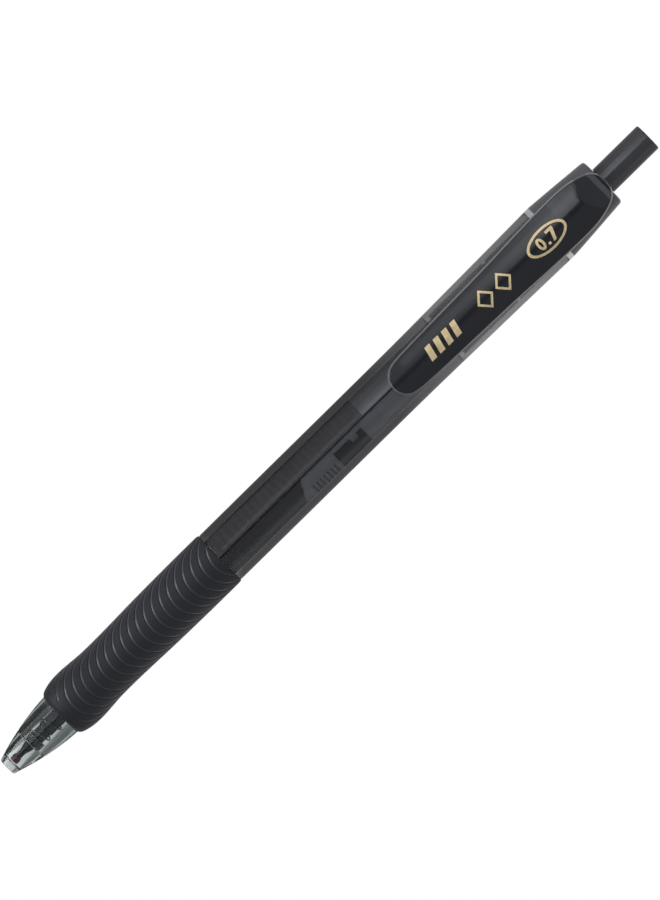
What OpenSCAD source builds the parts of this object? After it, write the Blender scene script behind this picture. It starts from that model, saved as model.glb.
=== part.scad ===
// Retractable gel pen, drawn in millimetres as an assembly of separate pieces.
// The pen lies along X with its tip at -X, its button at +X and its clip up (+Z).
// Every piece is drawn in the pen's own frame, where x = 0 is the end of the nose and
// z = 0 is the centre line. pen() then moves it over the middle of the floor.

/* [Body] */
// Length from the nose to the end of the button at rest
total_length = 145.1; // [140:0.1:150]
// Length of the clear nose cone
nose_length = 12.1; // [10:0.1:14]
// Where the rubber grip ends
grip_end = 48.2; // [44:0.1:52]
// Outside radius of the barrel behind the grip
barrel_r = 4.87; // [4.5:0.01:5.2]
// Where the barrel ends
barrel_end = 122.2; // [120:0.1:124]
// Largest radius, at the front of the rear cap
cap_r = 5.38; // [5:0.01:5.6]
// Where the rear cap ends
cap_end = 134.8; // [132:0.1:137]

/* [Grip grooves] */
// Distance from one groove to the next along the pen
groove_pitch = 1.776; // [1.5:0.001:2.2]
// How far the grooves lean from square, in degrees
groove_lean = 46.5; // [0:0.5:60]
// Depth of a groove
groove_depth = 0.13; // [0.05:0.01:0.2]

/* [Bores] */
// Bore of the barrel behind the grip
barrel_bore_r = 3.85; // [3.8:0.01:4]
// Bore of the barrel under the grip
front_bore_r = 3.7; // [3.65:0.01:3.8]
// Radius of the nose cone's screw spigot
spigot_r = 3.1; // [2.9:0.01:3.2]
// Radius of the hole the tip comes out of
tip_hole_r = 1.15; // [1.05:0.01:1.3]

/* [Refill] */
// Outside radius of the refill tube
refill_r = 3.6; // [3.4:0.01:3.65]
// Wall of the refill tube
refill_wall = 0.4; // [0.3:0.05:0.6]
// Diameter of the writing ball
ball_d = 0.7; // [0.5:0.1:1]

/* [Click mechanism] */
// How far the button is pressed
stroke = 5.5; // [4.5:0.1:5.6]
// Radius of the button
button_r = 2.5; // [2.3:0.01:2.6]
// Width of each slot of the cam guide in degrees
slot_angle = 70; // [60:1:75]
// Width of each rib of the rotor in degrees
rib_angle = 20; // [14:1:22]
// Wire radius of the return spring
wire_r = 0.15; // [0.1:0.01:0.18]

/* [Clip] */
// Front end of the clip
clip_start = 87.3; // [84:0.1:90]
// Rear end of the clip
clip_end = 135.2; // [133:0.1:136]
// Where the clip's hinge pin is along the pen
pivot_x = 126.6; // [125:0.1:128]
// Height of the hinge pin above the centre line
pivot_z = 6.8; // [6.6:0.05:7]
// Wall of the hollow clip
clip_wall = 0.85; // [0.7:0.05:1]

/* [Hidden] */
fine = 96;
round_fn = 48;
eps = 0.02;
grip_start = nose_length + 0.05;
step_x = 98.6;
guide_start = 99.5;
land_x = 111.7;
guide_end = 125.2;
guide_r = 4.33;
guide_bore_r = 2.95;
slot_r = 3.58;
rib_r = 3.48;
ring_end = barrel_end + 1;
shoulder_x = 28;
ink_end = 66.4; // on the centre line; the end slants
groove_start = 7.4;
groove_count = 26;
tail_x = 106.1;
spring_seat_x = 5.35;
crown_r = 11.3;
crown_top = 9.5;
crown_lean = 1.9;

// Radius of the nose cone's outside, a slightly swelling taper.
function nose_r(x) = 1.5 + 0.338 * x - 0.0115 * x * x;

// Outside of the grip: a rounded front lip, a bulge, a waist for the fingers and a second bulge.
GRIP = [
  [grip_start, 3.92], [12.45, 4.28], [12.95, 4.56], [13.6, 4.76], [14.5, 4.95], [15.6, 5.06],
  [17.2, 5.07], [19.4, 4.91], [21.4, 4.77], [25, 4.75], [29, 4.84], [33, 4.95], [37, 5.02],
  [42.6, 5.07], [46.4, 5.07], [47.6, 5.06], [48.05, 5.02], [grip_end, 4.92]
];

// Outside of the barrel behind the grip. It is parallel as far as the clip and then swells.
BARREL = [
  [48.25, barrel_r - 0.06], [48.5, barrel_r], [87, barrel_r + 0.02], [92, 4.92], [96.8, 4.97],
  [104.8, 5.09], [112.9, 5.2], [119.4, 5.31], [barrel_end, 5.36]
];

// Outside of the rear cap, from its front edge to its flat rear face.
CAP = [
  [ring_end, cap_r], [126, 5.17], [129, 4.94], [131.5, 4.73], [133.6, 4.56], [134.3, 4.49],
  [134.6, 4.4], [134.75, 4.24], [cap_end, 4.05]
];

// Half width of the clip seen from above.
LEAF = [
  [0, 0.05], [0.1, 0.75], [0.35, 1.42], [0.8, 2.08], [1.5, 2.66], [2.7, 3.04], [5, 3.25],
  [11.4, 3.46], [24, 3.77], [31, 4.06], [36, 4.22], [40, 4.25], [42.2, 4.12], [43.8, 3.85],
  [45.4, 3.38], [46.6, 2.84], [47.4, 2.05], [47.75, 1.3], [47.9, 0.05]
];

// Index of the stretch of table t that holds x, the slope at its point i, and its smooth curve.
function stretch(t, x, i = 0) = (i >= len(t) - 2 || x < t[i + 1][0]) ? i : stretch(t, x, i + 1);
function slope(t, i) =
  let (a = max(i - 1, 0), b = min(i + 1, len(t) - 1)) (t[b][1] - t[a][1]) / (t[b][0] - t[a][0]);
function curve(t, x) =
  let (
    i = stretch(t, x),
    h = t[i + 1][0] - t[i][0],
    u = (x - t[i][0]) / h,
    m0 = slope(t, i) * h,
    m1 = slope(t, i + 1) * h
  )
  (2 * u * u * u - 3 * u * u + 1) * t[i][1] + (u * u * u - 2 * u * u + u) * m0
  + (3 * u * u - 2 * u * u * u) * t[i + 1][1] + (u * u * u - u * u) * m1;

// Moves a piece from the pen's own frame to where the pen lies on the floor.
module pen() {
  translate([-total_length / 2, 0, cap_r]) children();
}

// A solid of revolution about the pen's centre line from a list of [x, radius].
module turned(points) {
  rotate([0, 90, 0]) rotate_extrude($fn = fine) polygon([for (p = points) [p[1], p[0]]]);
}

module rod(x0, x1, r) {
  translate([x0, 0, 0]) rotate([0, 90, 0]) cylinder(h = x1 - x0, r = r, $fn = fine);
}

module tube(x0, x1, r_out, r_in) {
  turned([[x0, r_out], [x1, r_out], [x1, r_in], [x0, r_in]]);
}

// A wedge about the centre line, width degrees wide, centred on the given angle.
module wedge(x0, x1, angle, width) {
  reach = 6 / cos(width / 2);
  translate([x0, 0, 0]) rotate([angle, 0, 0]) rotate([0, 90, 0]) linear_extrude(height = x1 - x0)
    polygon([
      [0, 0],
      [reach * cos(width / 2), reach * sin(width / 2)],
      [reach * cos(width / 2), -reach * sin(width / 2)]
    ]);
}

// A flat shape drawn in X and Y, standing from z0 to z1.
module plate(points, z0, z1) {
  translate([0, 0, z0]) linear_extrude(height = z1 - z0) polygon(points);
}

// A shape drawn in X and Z, running across the pen from y0 to y1.
module across(points, y0, y1) {
  translate([0, y1, 0]) rotate([90, 0, 0]) linear_extrude(height = y1 - y0) polygon(points);
}

module cross_rod(x, z, r, y0, y1) {
  translate([x, y1, z]) rotate([90, 0, 0]) cylinder(h = y1 - y0, r = r, $fn = round_fn);
}

// Eight ramp teeth in a ring, pointing to +X (way = 1) or -X (way = -1).
module teeth(x, height, way, r_in, r_out) {
  half = r_out * tan(22.5);
  intersection() {
    tube(x - height, x + height, r_out, r_in);
    for (k = [0:7]) rotate([45 * k, 0, 0])
      linear_extrude(height = r_out + 1)
        polygon([
          [x - 0.05 * way, -0.9 * half], [x - 0.05 * way, 0.9 * half],
          [x + way * height, 0.6 * half]
        ]);
  }
}

// Clear cone the tip comes out of, with the screw spigot that holds it in the barrel.
module nose_cone() {
  color([0.62, 0.66, 0.66, 0.45]) pen() turned(concat(
    [[0.06, tip_hole_r], [0, 1.22], [0, 1.36], [0.05, 1.47], [0.16, 1.55]],
    [for (x = [0.6, 1.2, 1.9, 2.9, 3.9, 4.7, 5.42]) [x, nose_r(x)]],
    [[5.46, nose_r(5.46) - 0.05], [5.58, nose_r(5.58) - 0.05], [5.62, nose_r(5.62)]],
    [for (x = [6.8, 7.7, 8.7, 9.7, 10.6, 11.4, nose_length]) [x, nose_r(x)]],
    [[nose_length, spigot_r], [18.7, spigot_r], [19, 2.85], [19, 2.4], [spring_seat_x, 2.4]],
    [[spring_seat_x, 1.65], [1.5, 1.65], [1.05, tip_hole_r]]
  ));
}

// Rubber sleeve stretched over the front of the barrel, ringed by fine slanted grooves that
// lie further forward on the clip's side.
module grip_sleeve() {
  outer = [for (p = GRIP) [p[0], curve(GRIP, p[0])]];
  color([0.16, 0.16, 0.17]) pen() difference() {
    turned(concat(
      outer,
      [[grip_end, 4.27], [17, 4.27], [13.2, 3.64], [grip_start, 3.62]]
    ));
    difference() {
      intersection() {
        rod(13, 47.9, 6);
        rotate([4, 0, 0]) for (k = [0:groove_count - 1])
          translate([groove_start + groove_pitch * k, 0, 0]) rotate([0, -groove_lean, 0])
            translate([-0.1, -8, -10]) cube([0.2, 16, 20]);
      }
      turned(concat(
        [for (p = outer) [p[0], p[1] - groove_depth]],
        [[grip_end, 0], [grip_start, 0]]
      ));
    }
  }
}

// Smoky see-through barrel: a thin nose under the grip, then the thick visible tube.
module barrel() {
  color([0.25, 0.25, 0.27, 0.5]) pen() turned(concat(
    [[grip_start, 3.6], [13.2, 3.62], [17, 4.25], [grip_end + 0.02, 4.25]],
    [for (x = [48.25, 48.5, 87, 90, 93, 96.8, 100.8, 104.8, 108.8, 112.9, 116, 119.4, barrel_end])
      [x, curve(BARREL, x)]],
    [[barrel_end, guide_r + eps], [step_x, guide_r + eps]],
    [[step_x, barrel_bore_r], [47.6, barrel_bore_r], [47, front_bore_r]],
    [[21, front_bore_r], [20.4, spigot_r + 0.05], [grip_start, spigot_r + 0.05]]
  ));
}

// Clear ring between the barrel and the rear cap.
module clear_ring() {
  color([0.8, 0.83, 0.85, 0.5]) pen()
    turned([[barrel_end, 5.36], [ring_end, cap_r], [ring_end, 4.02], [barrel_end, 4.02]]);
}

// Sleeve fixed inside the barrel by a groove round it. Four wide slots guide the ribs of the
// rotor and the keys of the plunger, and the lands between them end where the rotor latches.
module cam_guide() {
  color([0.75, 0.77, 0.78, 0.6]) pen() difference() {
    turned([
      [guide_start, guide_r], [111.5, guide_r], [111.5, 4], [112.2, 4], [112.2, guide_r],
      [barrel_end - 0.05, guide_r], [barrel_end - 0.05, 4],
      [guide_end, 4], [guide_end, guide_bore_r], [land_x, guide_bore_r],
      [land_x, refill_r + 0.1], [guide_start, refill_r + 0.1]
    ]);
    for (k = [0:3]) intersection() {
      rod(land_x - 1, guide_end + 1, slot_r);
      wedge(land_x - 1, guide_end + 1, 90 * k, slot_angle);
    }
  }
}

// Dark cap that closes the barrel. Its two ears carry the hinge pin of the clip.
module rear_cap() {
  color([0.2, 0.2, 0.21]) pen() difference() {
    union() {
      turned(concat(
        [for (x = [ring_end, 124.6, 126, 127.5, 129, 130.3, 131.5, 132.6, 133.6, 134.3, 134.6, 134.75])
          [x, curve(CAP, x)]],
        [[cap_end, 4.05], [cap_end, button_r + 0.1], [132.5, button_r + 0.1]],
        [[132.5, 4.02], [ring_end, 4.02]]
      ));
      for (y = [-2.4, 1.5]) {
        across([
          [pivot_x - 1.45, 4.3], [pivot_x + 1.45, 4.3],
          [pivot_x + 1.05, pivot_z + 0.1], [pivot_x - 1.05, pivot_z + 0.1]
        ], y, y + 0.9);
        cross_rod(pivot_x, pivot_z, 1.1, y, y + 0.9);
      }
    }
    cross_rod(pivot_x, pivot_z, 0.6, -3, 3);
  }
}

// Button the thumb presses, with the flange that keeps it in the cap and the stem of the plunger.
module button() {
  color([0.22, 0.22, 0.23]) pen() turned([
    [126, 0], [126, 1.55], [130.9, 1.55], [130.9, 3.3], [132.35, 3.3], [132.35, 2.2],
    [134.9, 2.2], [134.95, button_r], [144.75, button_r], [144.92, 2.47], [145.03, 2.38],
    [145.09, 2.25], [total_length, 2.1], [total_length, 0]
  ]);
}

// Crown on the button's stem. Its keys keep it from turning and its teeth face the rotor.
module cam_plunger() {
  color([0.85, 0.85, 0.83]) pen() {
    tube(117.5, 130.9, 2.85, 1.55);
    teeth(117.55, 0.75, -1, 1.6, 2.8);
    for (k = [0:3]) difference() {
      intersection() {
        rod(118, 124, rib_r);
        wedge(118, 124, 90 * k, 28);
      }
      rod(117, 125, 2.8);
    }
  }
}

// Rotor that turns a step each time the button is pressed and pushes the refill.
module rotor_cam() {
  color([0.9, 0.9, 0.88]) pen() {
    rod(109, 116, 2.85);
    rod(116, 121, 1.47);
    rod(tail_x + 0.02, 109, 2);
    teeth(116, 0.7, 1, 1.6, 2.8);
    for (k = [0:3]) difference() {
      intersection() {
        rod(111.2, 115.6, rib_r);
        wedge(111.2, 115.6, 90 * k - 22.5, rib_angle);
      }
      rod(111, 116, 2.8);
    }
  }
}

// Clear tube that holds the ink.
module refill_tube() {
  color([0.85, 0.87, 0.88, 0.4]) pen()
    tube(shoulder_x + 1.2, tail_x - 1, refill_r, refill_r - refill_wall);
}

// Dark neck that joins the metal tip to the tube. The spring pushes on its shoulder.
module refill_neck() {
  bore = 0.5;
  color([0.13, 0.15, 0.15]) pen() turned([
    [6.5, 1.0], [6.5, 1.06], [7.1, 1.2], [8.7, 1.2], [8.9, 1.4], [27.6, 1.42], [shoulder_x, 1.5],
    [shoulder_x, refill_r], [shoulder_x + 1.2, refill_r], [shoulder_x + 1.2, refill_r - refill_wall],
    [shoulder_x + 5, refill_r - refill_wall], [shoulder_x + 5, bore], [10, bore], [10, 1.0]
  ]);
}

// Metal point: a needle with the ball's socket, a cone and a plug that sits in the neck.
module tip_point() {
  color([0.72, 0.72, 0.74]) pen() difference() {
    turned([
      [2.28, 0], [2.28, 0.4], [2.55, 0.55], [3.94, 0.55], [4.3, 0.66], [4.8, 0.85], [5.25, 0.98],
      [5.5, 1.0], [10, 1.0], [10, 0]
    ]);
    translate([2.1 + ball_d / 2, 0, 0]) sphere(r = ball_d / 2 + 0.02, $fn = 32);
    rod(2.6, 10.5, 0.28);
  }
}

module tip_ball() {
  color([0.8, 0.8, 0.82]) pen() translate([2.1 + ball_d / 2, 0, 0]) sphere(r = ball_d / 2, $fn = 32);
}

// Bead of sealing wax that keeps a new tip from drying.
module wax_bead() {
  color([0.45, 0.1, 0.12]) pen() turned([
    [1.18, 0], [1.19, 0.3], [1.26, 0.5], [1.4, 0.66], [1.62, 0.76], [1.95, 0.79], [2.3, 0.77],
    [2.55, 0.7], [2.68, 0.61], [2.68, 0.57], [2.03, 0.57], [2.03, 0]
  ]);
}

// Ink column with a sloping rear end.
module ink() {
  color([0.03, 0.03, 0.04]) pen() difference() {
    rod(shoulder_x + 5, 70, refill_r - refill_wall);
    behind_ink();
  }
}

// Everything behind the slanted end of the ink.
module behind_ink() {
  translate([ink_end, 0, 0]) rotate([0, 0, -33]) translate([0, -50, -5]) cube([60, 100, 10]);
}

// Milky grease that follows the ink and stops it drying or running out of the back.
module ink_follower() {
  color([0.8, 0.8, 0.75, 0.5]) pen() intersection() {
    rod(60, 101.9, refill_r - refill_wall);
    behind_ink();
  }
}

// Paper label on one side of the refill.
module refill_label() {
  color([0.42, 0.37, 0.36]) pen() intersection() {
    tube(34, 80.8, refill_r + 0.05, refill_r);
    translate([33, 0.35, -5]) cube([49, 6, 10]);
  }
}

// Marks printed on the other side of the refill: a long line beside the label, short fine
// lines and a dark block with a notch.
module refill_print() {
  color([0.12, 0.13, 0.14]) pen() intersection() {
    tube(33, 101, refill_r + 0.05, refill_r);
    union() {
      plate([[34, 0], [100, 0], [100, 0.3], [34, 0.3]], 0, 5);
      plate([[73, -0.75], [76.6, -0.75], [76.6, -1.6], [78, -1.6], [78, -0.75], [79.2, -0.75],
        [79.2, -5], [73, -5]], 0, 5);
      for (k = [0:6]) translate([67 + 0.8 * k, -5, 0]) cube([0.3, 3, 5]);
    }
  }
}

// Plug in the tail of the refill that the rotor pushes on, with an air hole.
module refill_plug() {
  color([0.9, 0.9, 0.9]) pen() turned([
    [102, 0.4], [102, refill_r - refill_wall], [tail_x - 1, refill_r - refill_wall],
    [tail_x - 1, refill_r], [tail_x, refill_r - 0.1], [tail_x, 0.4]
  ]);
}

// Centre line of the return spring: close coils at the front, eight open ones and close coils behind.
SPRING = [[0, spring_seat_x + wire_r], [5, 7.0], [13, 26.5], [17.5, shoulder_x - wire_r]];

// A round wire along a path of [centre, direction across the wire, second direction across it].
module wire(path, r, sides) {
  n = len(path) - 1;
  points = [
    for (p = path) for (j = [0:sides - 1])
      p[0] + r * cos(360 * j / sides) * p[1] + r * sin(360 * j / sides) * p[2]
  ];
  faces = [
    for (i = [0:n - 1]) for (j = [0:sides - 1])
      let (p = i * sides + j, q = i * sides + (j + 1) % sides)
      [p, p + sides, q + sides, q]
  ];
  polyhedron(
    points,
    concat([[for (j = [0:sides - 1]) j]], faces, [[for (j = [sides - 1:-1:0]) n * sides + j]])
  );
}

module return_spring() {
  r = 1.66;
  turns = SPRING[3][0];
  n = turns * 16;
  color([0.75, 0.75, 0.77]) pen() wire(
    [
      for (i = [0:n]) let (a = 360 * turns * i / n, x = lookup(turns * i / n, SPRING))
        [[x, r * cos(a), r * sin(a)], [0, cos(a), sin(a)], [1, 0, 0]]
    ],
    wire_r, 6
  );
}

// Outline of the clip from above, drawn in by the given wall.
function leaf_x(x, inset) =
  clip_start + (x < 3 ? x + inset * (1 - x / 3) : x > 44 ? x - inset * (x - 44) / 3.9 : x);
function leaf(inset) =
  let (half = [for (p = LEAF) [leaf_x(p[0], inset), max(0.03, p[1] - inset)]])
  concat(half, [for (i = [len(half) - 1:-1:0]) [half[i][0], -half[i][1]]]);

// Side view of the clip: its ends are rounded down and its rear end droops over the cap.
SIDE = [
  [86, 6.9], [87.3, 6.95], [120, 7.5], [129, 7.55], [132, 7.0], [134.2, 6.35], [136, 6.2],
  [136, 6.9], [135.2, 7.05], [134.9, 7.45], [134.3, 7.85], [133.3, 8.35], [130.1, 9.36],
  [128.4, 9.5], [126.5, 9.7], [100, 9.7], [90.5, 8.5], [89.3, 8.25], [88.3, 7.95],
  [87.7, 7.6], [87.35, 7.2], [86, 7.1]
];

// Side view of the hollow under it: the same, a wall lower, and open below.
HOLLOW = [for (p = SIDE) [p[0], (p[1] < 7.56 && p[0] < 135 ? 5 : p[1]) - clip_wall]];

module crown(drop) {
  translate([pivot_x, 0, crown_top - crown_r - drop]) rotate([0, -crown_lean, 0]) translate([-60, 0, 0])
    rod(0, 90, crown_r);
}

// Long leaf-shaped lever with a crowned top and a hollow underside. It turns on the hinge pin.
module clip_lever() {
  color([0.08, 0.08, 0.09]) pen() difference() {
    union() {
      difference() {
        intersection() {
          plate(leaf(0), 5, 11);
          across(SIDE, -6, 6);
          crown(0);
        }
        intersection() {
          plate(leaf(clip_wall), 5, 11);
          across(HOLLOW, -5, 5);
          crown(clip_wall);
        }
      }
      for (y = [-3.35, 2.5]) {
        across([[pivot_x - 1.15, pivot_z], [pivot_x + 1.15, pivot_z], [pivot_x + 1.15, 8.5],
          [pivot_x - 1.15, 8.5]], y, y + 0.85);
        cross_rod(pivot_x, pivot_z, 1.15, y, y + 0.85);
      }
      across([[89.9, 6.1], [92.3, 6.1], [92.3, 7.6], [89.9, 7.6]], -1.7, 1.7);
      cross_rod(91.1, 6.14, 1.2, -1.7, 1.7);
    }
    cross_rod(pivot_x, pivot_z, 0.66, -3.6, 3.6);
  }
}

// Pin the clip turns on, pressed into the ears of the rear cap.
module clip_pin() {
  color([0.75, 0.75, 0.77]) pen() cross_rod(pivot_x, pivot_z, 0.6, -3.3, 3.3);
}

// Torsion spring around the pin. Its legs push the rear of the clip up and so its front down.
module clip_spring() {
  r = 0.85;
  leg = 3.3;
  a0 = 98;
  a1 = 4 * 360 + 256;
  n = 84;
  color([0.7, 0.7, 0.72]) pen() translate([pivot_x, 0, pivot_z]) wire(
    concat(
      [[[r * cos(a0) + leg * sin(a0), -1.05, r * sin(a0) - leg * cos(a0)],
        [cos(a0), 0, sin(a0)], [0, 1, 0]]],
      [for (i = [0:n]) let (a = a0 + (a1 - a0) * i / n)
        [[r * cos(a), -1.05 + 2.1 * i / n, r * sin(a)], [cos(a), 0, sin(a)], [0, 1, 0]]],
      [[[r * cos(a1) - leg * sin(a1), 1.05, r * sin(a1) + leg * cos(a1)],
        [cos(a1), 0, sin(a1)], [0, 1, 0]]]
    ),
    0.14, 6
  );
}

// Thin foil on the crowned top of the clip, in the shape of its children.
module foil() {
  intersection() {
    translate([0, 0, 5]) linear_extrude(height = 6) children();
    difference() {
      crown(-0.03);
      crown(0);
    }
  }
}

// Plain slanted bars, a mark that stands for no maker.
module gold_bars() {
  color([0.85, 0.7, 0.35]) pen() foil() for (k = [0:3]) translate([94.9 + 1.85 * k, 0])
    polygon([[0, -1.25], [1.1, -1.25], [1.7, 1.25], [0.6, 1.25]]);
}

// Two outlined lozenges, a mark that stands for no model.
module gold_lozenges() {
  color([0.85, 0.7, 0.35]) pen() foil() for (x = [108, 112]) difference() {
    polygon([[x - 1.7, 0], [x, -1.9], [x + 1.7, 0], [x, 1.9]]);
    polygon([[x - 1.2, 0], [x, -1.34], [x + 1.2, 0], [x, 1.34]]);
  }
}

// Oval with the size of the tip in it.
module gold_size() {
  color([0.85, 0.7, 0.35]) pen() foil() translate([121.8, 0]) {
    difference() {
      polygon([for (a = [0:7.5:352.5]) [4.05 * cos(a), 2 * sin(a)]]);
      polygon([for (a = [0:7.5:352.5]) [3.55 * cos(a), 1.6 * sin(a)]]);
    }
    difference() {
      polygon([for (a = [0:15:345]) [-1.3 + 0.69 * cos(a), 1.1 * sin(a)]]);
      polygon([for (a = [0:15:345]) [-1.3 + 0.23 * cos(a), 0.64 * sin(a)]]);
    }
    polygon([[-0.32, -1.1], [0.14, -1.1], [0.14, -0.64], [-0.32, -0.64]]);
    polygon([
      [0.4, 1.1], [0.4, 0.62], [1.27, 0.62], [0.62, -1.1], [1.17, -1.1], [1.94, 0.7], [1.94, 1.1]
    ]);
  }
}

nose_cone();
grip_sleeve();
barrel();
clear_ring();
cam_guide();
rear_cap();
button();
cam_plunger();
rotor_cam();
refill_tube();
refill_neck();
tip_point();
tip_ball();
wax_bead();
ink();
ink_follower();
refill_label();
refill_print();
refill_plug();
return_spring();
clip_lever();
clip_pin();
clip_spring();
gold_bars();
gold_lozenges();
gold_size();
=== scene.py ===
"""Looks of a retractable gel pen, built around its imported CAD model. Lengths below are in
millimetres along the pen (x from the end of the nose) and from its centre line; mm() turns them
into the shared frame."""

import math

import bmesh
import bpy
from mathutils import Matrix, Vector


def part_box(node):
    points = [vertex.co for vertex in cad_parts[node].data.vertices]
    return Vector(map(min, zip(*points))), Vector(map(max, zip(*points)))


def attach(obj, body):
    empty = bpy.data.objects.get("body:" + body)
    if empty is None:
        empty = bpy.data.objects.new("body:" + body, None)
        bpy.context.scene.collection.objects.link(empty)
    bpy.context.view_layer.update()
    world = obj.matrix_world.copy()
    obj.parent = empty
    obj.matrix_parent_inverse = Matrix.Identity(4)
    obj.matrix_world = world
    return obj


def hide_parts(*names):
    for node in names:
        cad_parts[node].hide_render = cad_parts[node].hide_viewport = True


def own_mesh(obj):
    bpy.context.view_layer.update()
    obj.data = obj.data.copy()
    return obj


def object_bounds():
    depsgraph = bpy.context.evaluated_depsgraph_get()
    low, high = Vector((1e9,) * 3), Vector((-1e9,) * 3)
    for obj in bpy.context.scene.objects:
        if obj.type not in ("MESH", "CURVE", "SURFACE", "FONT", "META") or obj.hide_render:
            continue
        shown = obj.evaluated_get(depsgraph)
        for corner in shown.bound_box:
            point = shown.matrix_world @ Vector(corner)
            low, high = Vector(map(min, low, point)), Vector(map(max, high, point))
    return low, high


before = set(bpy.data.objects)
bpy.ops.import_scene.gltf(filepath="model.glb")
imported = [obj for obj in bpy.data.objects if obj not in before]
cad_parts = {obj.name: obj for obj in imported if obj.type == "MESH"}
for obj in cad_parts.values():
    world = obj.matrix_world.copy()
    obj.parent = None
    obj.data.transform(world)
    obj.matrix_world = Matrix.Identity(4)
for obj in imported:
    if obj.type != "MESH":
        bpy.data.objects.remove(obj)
cad_lo, cad_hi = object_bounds()

NOSE_X = cad_lo.x
AXIS_Z = sum(corner.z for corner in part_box("button")) / 2
TAU = 2 * math.pi


def mm(x, y, z):
    """A point of the pen's own frame, in millimetres, as a point of the shared frame."""
    return Vector((NOSE_X + x / 1000, y / 1000, AXIS_Z + z / 1000))


# ---------------------------------------------------------------- profiles


def curve(table, x):
    """Smooth curve through a table of (x, value)."""
    last = len(table) - 1
    i = 0
    while i < last - 1 and x >= table[i + 1][0]:
        i += 1

    def slope(k):
        a = table[max(k - 1, 0)]
        b = table[min(k + 1, last)]
        return (b[1] - a[1]) / (b[0] - a[0])

    (x0, v0), (x1, v1) = table[i], table[i + 1]
    h = x1 - x0
    u = (x - x0) / h
    return (
        (2 * u**3 - 3 * u**2 + 1) * v0
        + (u**3 - 2 * u**2 + u) * slope(i) * h
        + (3 * u**2 - 2 * u**3) * v1
        + (u**3 - u**2) * slope(i + 1) * h
    )


def line(table, x):
    """Straight lines through a table of (x, value)."""
    if x <= table[0][0]:
        return table[0][1]
    for (x0, v0), (x1, v1) in zip(table, table[1:]):
        if x <= x1:
            return v0 + (v1 - v0) * (x - x0) / (x1 - x0)
    return table[-1][1]


def spread(a, b, n):
    """n + 1 even steps from a to b."""
    return [a + (b - a) * i / n for i in range(n + 1)]


def rounded(corners, steps=5):
    """A closed outline of (x, r) from corners of (x, r) or (x, r, fillet)."""
    out = []
    count = len(corners)
    for i, corner in enumerate(corners):
        p = Vector(corner[:2])
        size = corner[2] if len(corner) > 2 else 0
        if not size:
            out.append(tuple(p))
            continue
        a = Vector(corners[i - 1][:2]) - p
        b = Vector(corners[(i + 1) % count][:2]) - p
        reach = min(size, a.length * 0.49, b.length * 0.49)
        start = p + a.normalized() * reach
        end = p + b.normalized() * reach
        for k in range(steps + 1):
            t = k / steps
            out.append(tuple((1 - t) ** 2 * start + 2 * t * (1 - t) * p + t * t * end))
    return out


# where the pieces of the body end along the pen
NOSE_LENGTH = 12.1
GRIP_START = 12.15
GRIP_END = 48.2
BARREL_START = 48.25
BARREL_END = 122.2
RING_END = 123.2
CAP_END = 134.8
BUTTON_END = 145.1

# the clip: where it begins, its length, and the (x, z) of its hinge
CLIP_START = 87.3
CLIP_LENGTH = 47.9
CLIP_END = CLIP_START + CLIP_LENGTH
PIVOT = (126.6, 6.8)

# radii along the grip, the barrel and the cap, and the clip's half width from its front end
GRIP = [
    (GRIP_START, 3.92), (12.45, 4.28), (12.95, 4.56), (13.6, 4.76), (14.5, 4.95), (15.6, 5.06),
    (17.2, 5.07), (19.4, 4.91), (21.4, 4.77), (25, 4.75), (29, 4.84), (33, 4.95), (37, 5.02),
    (42.6, 5.07), (46.4, 5.07), (47.6, 5.06), (48.05, 5.02), (GRIP_END, 4.92),
]
BARREL = [
    (BARREL_START, 4.81), (48.5, 4.87), (87, 4.89), (92, 4.92), (96.8, 4.97), (104.8, 5.09),
    (112.9, 5.2), (119.4, 5.31), (BARREL_END, 5.36),
]
CAP = [
    (RING_END, 5.38), (126, 5.17), (129, 4.94), (131.5, 4.73), (133.6, 4.56), (134.3, 4.49),
    (134.6, 4.4), (134.75, 4.24), (CAP_END, 4.05),
]
LEAF = [
    (0, 0.05), (0.1, 0.75), (0.35, 1.42), (0.8, 2.08), (1.5, 2.66), (2.7, 3.04), (5, 3.25),
    (11.4, 3.46), (24, 3.77), (31, 4.06), (36, 4.22), (40, 4.25), (42.2, 4.12), (43.8, 3.85),
    (45.4, 3.38), (46.6, 2.84), (47.4, 2.05), (47.75, 1.3), (CLIP_LENGTH, 0.05),
]


def nose_r(x):
    """Radius of the cone, which bulges a little."""
    return 1.5 + 0.338 * x - 0.0115 * x * x


# ---------------------------------------------------------------- meshes


def make(name, verts, faces, body, material, slot, stands_for=(), angle=32, other=None):
    """A mesh object of this name that rides on a body, with smooth shading up to an angle.
    stands_for lists the CAD nodes that it replaces, and other is (a second material, a test of
    a face for it)."""
    mesh = bpy.data.meshes.new(name)
    mesh.from_pydata([tuple(v) for v in verts], [], faces)
    bm = bmesh.new()
    bm.from_mesh(mesh)
    bmesh.ops.remove_doubles(bm, verts=bm.verts, dist=2e-7)
    bmesh.ops.dissolve_degenerate(bm, dist=2e-7, edges=bm.edges)
    bmesh.ops.recalc_face_normals(bm, faces=bm.faces)
    bm.to_mesh(mesh)
    bm.free()
    mesh.shade_smooth()
    mesh.set_sharp_from_angle(angle=math.radians(angle))
    mesh.materials.append(material)
    if other:
        mesh.materials.append(other[0])
        for face in mesh.polygons:
            face.material_index = int(other[1](face))
    obj = bpy.data.objects.new(name, mesh)
    bpy.context.scene.collection.objects.link(obj)
    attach(obj, body)
    if stands_for:
        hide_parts(*stands_for)
    return obj


def strip(one, two):
    """Faces between two closed loops of vertex numbers, without repeated corners."""
    faces = []
    count = len(one)
    for k in range(count):
        n = (k + 1) % count
        face = []
        for v in (one[k], two[k], two[n], one[n]):
            if v not in face:
                face.append(v)
        if len(face) > 2:
            faces.append(face)
    return faces


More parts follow.
